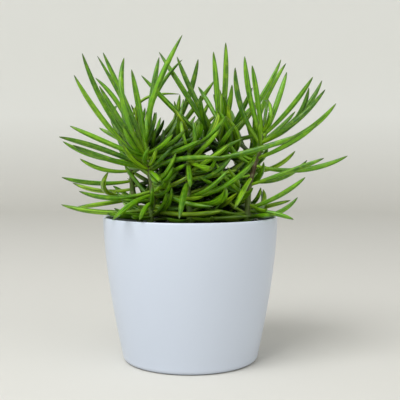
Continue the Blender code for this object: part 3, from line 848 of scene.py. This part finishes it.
def bark_crumbs(colours):
    """Composted pine bark, shredded: matt crumbs, each of its own brown."""
    material, tree, shader = new_material("bark_crumbs")
    tone = add_node(tree, "Attribute", "Fac", attribute_name="crumb_tone")
    stops = ((0, colours.peat), (0.75, colours.bark), (1, [part * 1.7 for part in colours.bark]))
    brown = add_node(tree, "ValToRGB", "Color", {"Fac": tone}, stops)
    place = add_node(tree, "TexCoord", "Object")
    # Bark fibre is about 0.6 mm.
    fibre = add_node(tree, "TexNoise", "Fac", {"Vector": place, "Scale": 1600, "Detail": 2})
    mixed = {MIX_SHARE: fibre, MIX_UNDER: (0, 0, 0, 1), MIX_OVER: brown}
    shade = add_node(tree, "Mix", MIX_RESULT, mixed, data_type="RGBA")
    bump = {"Height": fibre, "Strength": 0.6, "Distance": 0.4 * MM}
    normal = add_node(tree, "Bump", "Normal", bump)
    set_inputs(shader, {"Base Color": shade, "Roughness": 0.9, "Normal": normal})
    return material


def waxy_leaf(colours):
    """A living succulent leaf under a thin natural wax: soft gloss, faint streaks along it, olive point."""
    material, tree, shader = new_material("waxy_leaf")
    spot = add_node(tree, "Attribute", "Vector", attribute_name="leaf_place")
    share, tone, painted_shade = (
        add_node(tree, "Attribute", "Fac", attribute_name=name)
        for name in ("leaf_share", "leaf_tone", "painted_shade_share")
    )
    dull = [0.35 * green + 0.65 * shade_here for green, shade_here in zip(colours.leaf, colours.leaf_dark)]
    stops = ((0, dull), (0.5, colours.leaf), (1, colours.leaf_fresh))
    shade = add_node(tree, "ValToRGB", "Color", {"Fac": tone}, stops)
    # Streaks are about 0.9 mm apart round the leaf and run for 30 mm and more. Mottling is about 3 mm.
    stretched = add_node(tree, "Mapping", "Vector", {"Vector": spot, "Scale": (1100, 1100, 30)})
    streaks = add_node(tree, "TexNoise", "Fac", {"Vector": stretched, "Scale": 1, "Detail": 2})
    mottle = add_node(tree, "TexNoise", "Fac", {"Vector": spot, "Scale": 300, "Detail": 2})
    # Each layer covers the ones before it: the value that it follows, from where to where,
    # how much it covers at either end, and its colour. They are the streaks, the mottling, the pale
    # root, the olive point, and painted shade: a deep green over leaves deep in the plant and low over the
    # mix.
    layers = (
        (streaks, 0.44, 0.62, 0, 0.75, colours.leaf_dark),
        (mottle, 0.45, 0.75, 0, 0.3, colours.leaf_fresh),
        (share, 0, 0.3, 0.45, 0, colours.leaf_fresh),
        (share, 0.88, 1, 0, 0.75, colours.leaf_tip),
        # painted shade deep in the plant and low over the mix
        (painted_shade, 0, 1, 0, 1, colours.painted_leaf_shade),
    )
    for value, low, high, at_low, at_high, colour in layers:
        limits = {"Value": value, "From Min": low, "From Max": high, "To Min": at_low, "To Max": at_high}
        cover = add_node(tree, "MapRange", "Result", limits)
        mixed = {MIX_SHARE: cover, MIX_UNDER: shade, MIX_OVER: (*colour, 1)}
        shade = add_node(tree, "Mix", MIX_RESULT, mixed, data_type="RGBA")
    bump = {"Height": streaks, "Strength": 0.35, "Distance": 0.2 * MM}
    inputs = {
        "Base Color": shade,
        "Roughness": 0.32,
        "IOR": 1.42,
        "Subsurface Weight": 0.08,
        "Subsurface Radius": (0.5, 1.0, 0.2),
        "Subsurface Scale": 1.2 * MM,
        "Normal": add_node(tree, "Bump", "Normal", bump),
    }
    set_inputs(shader, inputs)
    return material


def green_stalk(colours):
    """A living stem that turns woody: satin green with brown, and dry pale scars."""
    material, tree, shader = new_material("green_stalk")
    woody, scar = (
        add_node(tree, "Attribute", "Fac", attribute_name=name) for name in ("woodiness", "scar")
    )
    place = add_node(tree, "TexCoord", "Object")
    # Bark lines are about 0.6 mm apart and run for 8 mm.
    stretched = add_node(tree, "Mapping", "Vector", {"Vector": place, "Scale": (1600, 1600, 120)})
    lines = add_node(tree, "TexNoise", "Fac", {"Vector": stretched, "Scale": 1, "Detail": 2})
    around = {0: lines, 1: 1.6, 2: -0.8}
    uneven = add_node(tree, "Math", "Value", around, operation="MULTIPLY_ADD")
    sum_of = {0: woody, 1: uneven}
    brown = add_node(tree, "Math", "Value", sum_of, operation="ADD", use_clamp=True)
    shade = (*colours.stalk, 1)
    for cover, colour in ((brown, colours.stalk_woody), (scar, colours.scar)):
        mixed = {MIX_SHARE: cover, MIX_UNDER: shade, MIX_OVER: (*colour, 1)}
        shade = add_node(tree, "Mix", MIX_RESULT, mixed, data_type="RGBA")
    bump = {"Height": lines, "Strength": 0.5, "Distance": 0.3 * MM}
    normal = add_node(tree, "Bump", "Normal", bump)
    set_inputs(shader, {"Base Color": shade, "Roughness": 0.5, "IOR": 1.45, "Normal": normal})
    return material


def plain_backdrop(colours):
    """Fine plaster, rolled matt: an even pale tone that lightens where the floor curves up."""
    material, tree, shader = new_material("plain_backdrop")
    place = add_node(tree, "TexCoord", "Object")
    height = add_node(tree, "SeparateXYZ", "Z", {"Vector": place})
    stops = ((0.01, colours.floor), (0.3, colours.backdrop))
    shade = add_node(tree, "ValToRGB", "Color", {"Fac": height}, stops)
    set_inputs(shader, {"Base Color": shade, "Roughness": 0.85})
    return material


# Pieces


def arc(centre, radius, start, end, steps):
    """Points r, z on an arc, from one angle to another in degrees."""
    angles = np.radians(np.linspace(start, end, steps + 1))
    return [(centre[0] + radius * math.cos(a), centre[1] + radius * math.sin(a)) for a in angles]


def pot_radius(z):
    """Radius of the planter's outside at a height: fullest and nearly upright at the rim."""
    return POT_RIM_RADIUS - (POT_RIM_RADIUS - POT_BASE_RADIUS) * (1 - z / POT_HEIGHT) ** POT_SWELL


def planter_rings(wall):
    """The planter's section, from its underside round the rim to its inside floor."""
    foot_centre = (pot_radius(POT_FOOT_ROUND) - POT_FOOT_ROUND, POT_FOOT_ROUND)
    lip = wall / 2
    lip_centre = (POT_RIM_RADIUS - lip, POT_HEIGHT - lip)
    inner_foot = POT_FLOOR + POT_FOOT_ROUND
    inner_centre = (pot_radius(inner_foot) - wall - POT_FOOT_ROUND, inner_foot)
    outside = [(pot_radius(z), z) for z in np.linspace(POT_FOOT_ROUND, lip_centre[1], SIDE_STEPS)[1:-1]]
    inside = [(pot_radius(z) - wall, z) for z in np.linspace(lip_centre[1], inner_foot, INSIDE_STEPS)[1:-1]]
    return [
        *arc(foot_centre, POT_FOOT_ROUND, -90, 0, FOOT_STEPS),
        *outside,
        *arc(lip_centre, lip, 0, 180, LIP_STEPS),
        *inside,
        *arc(inner_centre, POT_FOOT_ROUND, 0, -90, FLOOR_STEPS),
        (0, POT_FLOOR),
    ]


def mix_top(radius):
    """Height of the mix at a distance from the middle: a low crown."""
    return MIX_EDGE_HEIGHT + MIX_CROWN * (1 - (radius / POT_RIM_RADIUS) ** 2)


def mix_rings(wall):
    """The section of the mix, which fills the planter to below its rim."""
    foot = POT_FLOOR + SEAT_GAP + POT_FOOT_ROUND
    slack = wall + SEAT_GAP
    foot_centre = (pot_radius(foot) - slack - POT_FOOT_ROUND, foot)
    side = [(pot_radius(z) - slack, z) for z in np.linspace(foot, MIX_EDGE_HEIGHT, MIX_SIDE_STEPS)[1:]]
    radii = side[-1][0] * np.linspace(*MIX_TOP_SHARES, MIX_TOP_RINGS)
    top = [(radius, mix_top(radius)) for radius in radii]
    return [*arc(foot_centre, POT_FOOT_ROUND, -90, 0, MIX_FOOT_STEPS), *side, *top, (0, mix_top(0))]


def mix_height(x, y, relief):
    """Height of the lumpy top of the mix at a place."""
    radius, bearing = math.hypot(x, y), math.atan2(y, x)
    lumps = MIX_RELIEF * math.sin(MIX_LUMPS_ROUND * bearing + radius / MIX_LUMP_WIDTH)
    small = relief * noise.fractal(Vector((x, y, 0)) / MIX_GRAIN, *MIX_FRACTAL)
    return mix_top(radius) + lumps + small


def lay_on_course(corners, course, runs):
    """Bend what stands on Z along a course: its Z becomes the run along it, and its +Y side comes on top."""
    centres = on_line(corners[:, 2], runs, course)
    along = unit_rows(on_line(corners[:, 2], runs, np.gradient(course, runs, axis=0)))
    across = unit_rows(np.cross(along, NEARLY_UP if abs(along[:, 2]).mean() < STEEP else (0, 1, 0)))
    return centres + corners[:, :1] * across + corners[:, 1:2] * np.cross(across, along)


def turning(angle, first, second):
    """The turn of rows of x, y and z by an angle, from one axis towards another."""
    turn = np.eye(3)
    turn[first, first] = turn[second, second] = math.cos(angle)
    turn[first, second] = math.sin(angle)
    turn[second, first] = -math.sin(angle)
    return turn


class SENECIO_OT_planter(bpy.types.Operator):
    """Model the moulded planter"""

    bl_idname = "senecio.planter"
    bl_label = "Planter"

    def execute(self, context):
        sizes, colours = context.scene.senecio_sizes, context.scene.senecio_colours
        planter = draw_rings("planter", POT_SIDES, planter_rings(sizes.wall))
        finish_piece(planter, white_planter(colours), "white_planter", "pot")
        return {"FINISHED"}


class SENECIO_OT_mix(bpy.types.Operator):
    """Model the potting mix and the bark crumbs on it"""

    bl_idname = "senecio.mix"
    bl_label = "Potting mix"

    def execute(self, context):
        sizes, colours = context.scene.senecio_sizes, context.scene.senecio_colours
        mix = draw_rings("mix", MIX_SIDES, mix_rings(sizes.wall))
        corners = corners_of(mix.data)
        for corner in corners:
            if corner[2] > MIX_EDGE_HEIGHT + NEXT_TO_NOTHING:
                corner[2] = mix_height(corner[0], corner[1], sizes.relief)
        move_corners(mix.data, corners)
        finish_piece(mix, potting_mix(colours), "potting_mix", "soil")
        crumbs = self.lay_crumbs(sizes)
        finish_piece(crumbs, bark_crumbs(colours), "potting_mix", "soil")
        return {"FINISHED"}

    def lay_crumbs(self, sizes):
        """Copies of a few rough crumbs, half sunk in the mix and clear of the stalks."""
        models = []
        for kind in range(CRUMB_KINDS):
            bpy.ops.object.select_all(action="DESELECT")
            bpy.ops.mesh.primitive_ico_sphere_add(subdivisions=2, radius=0.5)
            bpy.ops.object.mode_set(mode="EDIT")
            bpy.ops.transform.vertex_random(offset=CRUMB_ROUGHNESS, uniform=CRUMB_UNIFORMITY, seed=kind + 1)
            bpy.ops.transform.resize(value=CRUMB_SHAPE)
            bpy.ops.object.mode_set(mode="OBJECT")
            models.append(bpy.context.object)
        feet = [np.array(stem["course"][0][:2]) * MM for stem in STEMS.values()]
        chance = np.random.default_rng(CRUMB_SEED)
        reach = CRUMB_SPREAD * (POT_RIM_RADIUS - sizes.wall)
        copies = []
        while len(copies) < sizes.crumb_count:
            radius, bearing = reach * math.sqrt(chance.random()), math.tau * chance.random()
            spot = np.array((radius * math.cos(bearing), radius * math.sin(bearing)))
            size = sizes.crumb_size * (CRUMB_SMALLEST + (1 - CRUMB_SMALLEST) * chance.random() ** 2)
            if min(np.linalg.norm(spot - foot) for foot in feet) < STEM_BASE_RADIUS + size / 2:
                continue
            crumb = copy_piece(models[len(copies) % CRUMB_KINDS], "crumb")
            turned, tilted = math.tau * chance.random(), chance.normal(0, CRUMB_TILT)
            places = corners_of(crumb.data) * size @ turning(tilted, 1, 2) @ turning(turned, 0, 1)
            height = mix_height(*spot, sizes.relief) + CRUMB_LIFT * size
            move_corners(crumb.data, places + np.array((*spot, height)))
            mark(crumb.data, "crumb_tone", np.full(len(places), chance.random()))
            copies.append(crumb)
        remove_pieces(models)
        return join_pieces(copies, "crumbs")


class SENECIO_OT_stalks(bpy.types.Operator):
    """Model the stalks with their leaf cushions and scars"""

    bl_idname = "senecio.stalks"
    bl_label = "Stalks"

    def execute(self, context):
        sizes, colours = context.scene.senecio_sizes, context.scene.senecio_colours
        material = green_stalk(colours)
        for name, stem in STEMS.items():
            piece_name = name.replace("leafy_stem", "stalk")
            woodiness = WOODINESS.get(name, COMMON_WOODINESS)
            stalk = self.model_stalk(piece_name, stem["course"], PLANT[name], woodiness, sizes)
            finish_piece(stalk, material, "leaf_green", name)
        return {"FINISHED"}

    def model_stalk(self, name, course, leaves, woodiness, sizes):
        """A straight round stalk with its cushions and scars, bent along its course."""
        course = stem_centres(course, COURSE_STEP)
        runs = runs_along(course)
        top = runs[-2]
        heights = np.linspace(0, top, round(top / STALK_STEP))
        radii = np.interp(heights, [runs[1], top], [STEM_BASE_RADIUS, STEM_TOP_RADIUS])
        rings = list(zip(radii, heights))
        for share in BUD_SHARES:
            rings.append((STEM_TOP_RADIUS * math.sqrt(1 - share**2), top + BUD_LENGTH * share))
        stalk = draw_rings(name, STALK_SIDES, [*rings, (0, runs[-1])])
        corners = corners_of(stalk.data)
        outwards = unit_rows(corners * (1, 1, 0))
        centre = lay_on_course(corners * (0, 0, 1), course, runs)
        facing = unit_rows(lay_on_course(corners, course, runs) - centre)
        swelling = np.zeros(len(corners))
        for leaf in leaves:
            heading = unit(leaf["tip"] - leaf["root"])
            near = np.exp(-(((centre[:, 2] - leaf["root"][2]) / CUSHION_LENGTH) ** 2))
            swelling = np.maximum(swelling, near * np.clip(facing @ heading, 0, 1) ** 2)
        scar = np.zeros(len(corners))
        for k, run in enumerate(np.arange(runs[1], top, SCAR_STEP)):
            bearing = k * GOLDEN_ANGLE
            toward = np.clip(outwards[:, 0] * math.cos(bearing) + outwards[:, 1] * math.sin(bearing), 0, 1)
            near = np.exp(-(((corners[:, 2] - run) / SCAR_LENGTH) ** 2))
            scar = np.maximum(scar, near * toward**SCAR_NARROWNESS)
        swollen = corners + outwards * (sizes.cushion * swelling - SCAR_DEPTH * scar)[:, None]
        move_corners(stalk.data, lay_on_course(swollen, course, runs))
        age = 1 - np.clip((corners[:, 2] - runs[1]) / (top - runs[1]), 0, 1)
        brown = LEAST_WOODINESS + (1 - LEAST_WOODINESS) * np.sin(math.pi * age**WOODINESS_POWER) ** 2
        mark(stalk.data, "woodiness", woodiness * brown)
        mark(stalk.data, "scar", scar * (1 - swelling) * age)
        return stalk


class SENECIO_OT_leaves(bpy.types.Operator):
    """Model one finger leaf and lay a bent copy of it wherever a leaf grows"""

    bl_idname = "senecio.leaves"
    bl_label = "Leaves"

    def execute(self, context):
        sizes, colours = context.scene.senecio_sizes, context.scene.senecio_colours
        rings = [(float(leaf_radii(share, 1)), share) for share in LEAF_RINGS]
        straight = draw_rings("straight_leaf", LEAF_SIDES, [*rings, (0, 1)])
        corners = corners_of(straight.data)
        corners[:, 1] *= np.where(corners[:, 1] > 0, LEAF_UPPER_FLATNESS, 1)
        move_corners(straight.data, corners)
        material = waxy_leaf(colours)
        chance = np.random.default_rng(LEAF_SEED)
        for name, leaves in PLANT.items():
            copies = []
            for leaf in leaves:
                copy = copy_piece(straight, "leaf")
                self.bend_leaf(copy.data, corners, leaf, sizes.leaf_plumpness, chance)
                copies.append(copy)
            joined = join_pieces(copies, name.replace("leafy_stem", "leaves"))
            finish_piece(joined, material, "leaf_green", name)
        remove_pieces([straight])
        return {"FINISHED"}

    def bend_leaf(self, mesh, corners, leaf, plumpness, chance):
        """Draw the straight leaf out along one leaf's course, with its own tone and its painted shade."""
        shares = np.linspace(0, 1, LEAF_COURSE_STEPS)
        bend = leaf["hang"], leaf["aside"], leaf["bend_at"]
        course = leaf_line(leaf["root"], leaf["tip"], *bend, shares)
        drawn = corners * (leaf["fullest"] * plumpness, leaf["fullest"] * plumpness, 1)
        laid = lay_on_course(drawn, course, shares)
        move_corners(mesh, laid)
        length = np.linalg.norm(leaf["tip"] - leaf["root"])
        offset = chance.random(3)
        tone = np.clip(chance.normal(LEAF_TONE, LEAF_TONE_SPREAD), 0, 1)
        mark(mesh, "leaf_place", drawn * (1, 1, length) + offset)
        mark(mesh, "leaf_share", corners[:, 2])
        mark(mesh, "leaf_tone", np.full(len(corners), tone))
        # Painted shade: darker deep in the plant and low over the mix, where little light reaches
        painted_shade_amount = np.zeros(len(corners))
        for middle, radius, top, fade, strength in PAINTED_SHADE_PARTS:
            inwards = radius - np.hypot(*(laid[:, :2] - middle).T)
            shade_here = np.clip(inwards / fade, 0, 1) * np.clip((top - laid[:, 2]) / fade, 0, 1)
            painted_shade_amount = np.maximum(painted_shade_amount, strength * shade_here)
        mark(mesh, "painted_shade_share", painted_shade_amount)


class SENECIO_OT_stage(bpy.types.Operator):
    """Set the pale floor with its curved backdrop, the soft light and the camera"""

    bl_idname = "senecio.stage"
    bl_label = "Stage"

    def execute(self, context):
        scene = context.scene
        reach = scene.senecio_sizes.floor_radius
        curve = arc((reach, BACKDROP_CURVE - FLOOR_GAP), BACKDROP_CURVE, -90, 0, BACKDROP_STEPS)
        level = [(radius, -FLOOR_GAP) for radius in FLOOR_RINGS]
        rings = [*level, *curve, (reach + BACKDROP_CURVE, BACKDROP_HEIGHT)]
        backdrop = draw_rings("backdrop", BACKDROP_SIDES, rings)
        bpy.ops.object.shade_smooth()
        backdrop.data.materials.append(plain_backdrop(scene.senecio_colours))
        for name, settings in LIGHTS.items():
            self.add_light(name, *settings)
        scene.world = bpy.data.worlds.new("soft_sky")
        scene.world.use_nodes = True
        sky = scene.world.node_tree.nodes["Background"]
        set_inputs(sky, {"Color": SKY_COLOUR, "Strength": SKY_STRENGTH})
        scene.view_settings.view_transform = "Standard"
        down, right = math.atan(AIM_DOWN / FOCAL_LENGTH), math.atan(AIM_RIGHT / FOCAL_LENGTH)
        bpy.ops.object.camera_add(
            location=(0, -VIEW_DISTANCE, CAMERA_HEIGHT), rotation=(math.pi / 2 - down, 0, -right)
        )
        camera = context.object
        camera.name = "photo_view"
        camera.data.sensor_width = CAMERA_SENSOR
        camera.data.lens = CAMERA_SENSOR * FOCAL_LENGTH / PICTURE_WIDTH
        camera.data.clip_start = 0.01
        scene.camera = camera
        return {"FINISHED"}

    def add_light(self, name, place, size, power, colour):
        """A square soft light that shines at the plant."""
        aim = Vector(LIGHT_AIM) - Vector(place)
        turned = aim.to_track_quat("-Z", "Y").to_euler()
        bpy.ops.object.light_add(type="AREA", location=place, rotation=turned)
        light = bpy.context.object
        light.name = name
        light.data.size = size
        light.data.energy = power
        light.data.color = colour


class SENECIO_PT_panel(bpy.types.Panel):
    """Lists the pieces, sizes and colours"""

    bl_idname = "SENECIO_PT_panel"
    bl_label = "Potted senecio"
    bl_space_type = "VIEW_3D"
    bl_region_type = "UI"
    bl_category = "Senecio"

    def draw(self, context):
        layout = self.layout
        for operator in OPERATORS:
            layout.operator(operator.bl_idname)
        for settings in (context.scene.senecio_sizes, context.scene.senecio_colours):
            box = layout.box()
            for name in settings.__annotations__:
                box.prop(settings, name)


OPERATORS = (
    SENECIO_OT_planter,
    SENECIO_OT_mix,
    SENECIO_OT_stalks,
    SENECIO_OT_leaves,
    SENECIO_OT_stage,
)
CLASSES = (SenecioSizes, SenecioColours, *OPERATORS, SENECIO_PT_panel)


def register():
    """Add the settings, operators and panel."""
    for cls in CLASSES:
        bpy.utils.register_class(cls)
    bpy.types.Scene.senecio_sizes = PointerProperty(type=SenecioSizes)
    bpy.types.Scene.senecio_colours = PointerProperty(type=SenecioColours)


def unregister():
    """Take the settings, operators and panel away again."""
    del bpy.types.Scene.senecio_sizes
    del bpy.types.Scene.senecio_colours
    for cls in reversed(CLASSES):
        bpy.utils.unregister_class(cls)


def main():
    """Model every piece."""
    register()
    bpy.ops.senecio.planter()
    bpy.ops.senecio.mix()
    bpy.ops.senecio.stalks()
    bpy.ops.senecio.leaves()
    bpy.ops.senecio.stage()


if __name__ == "__main__":
    main()
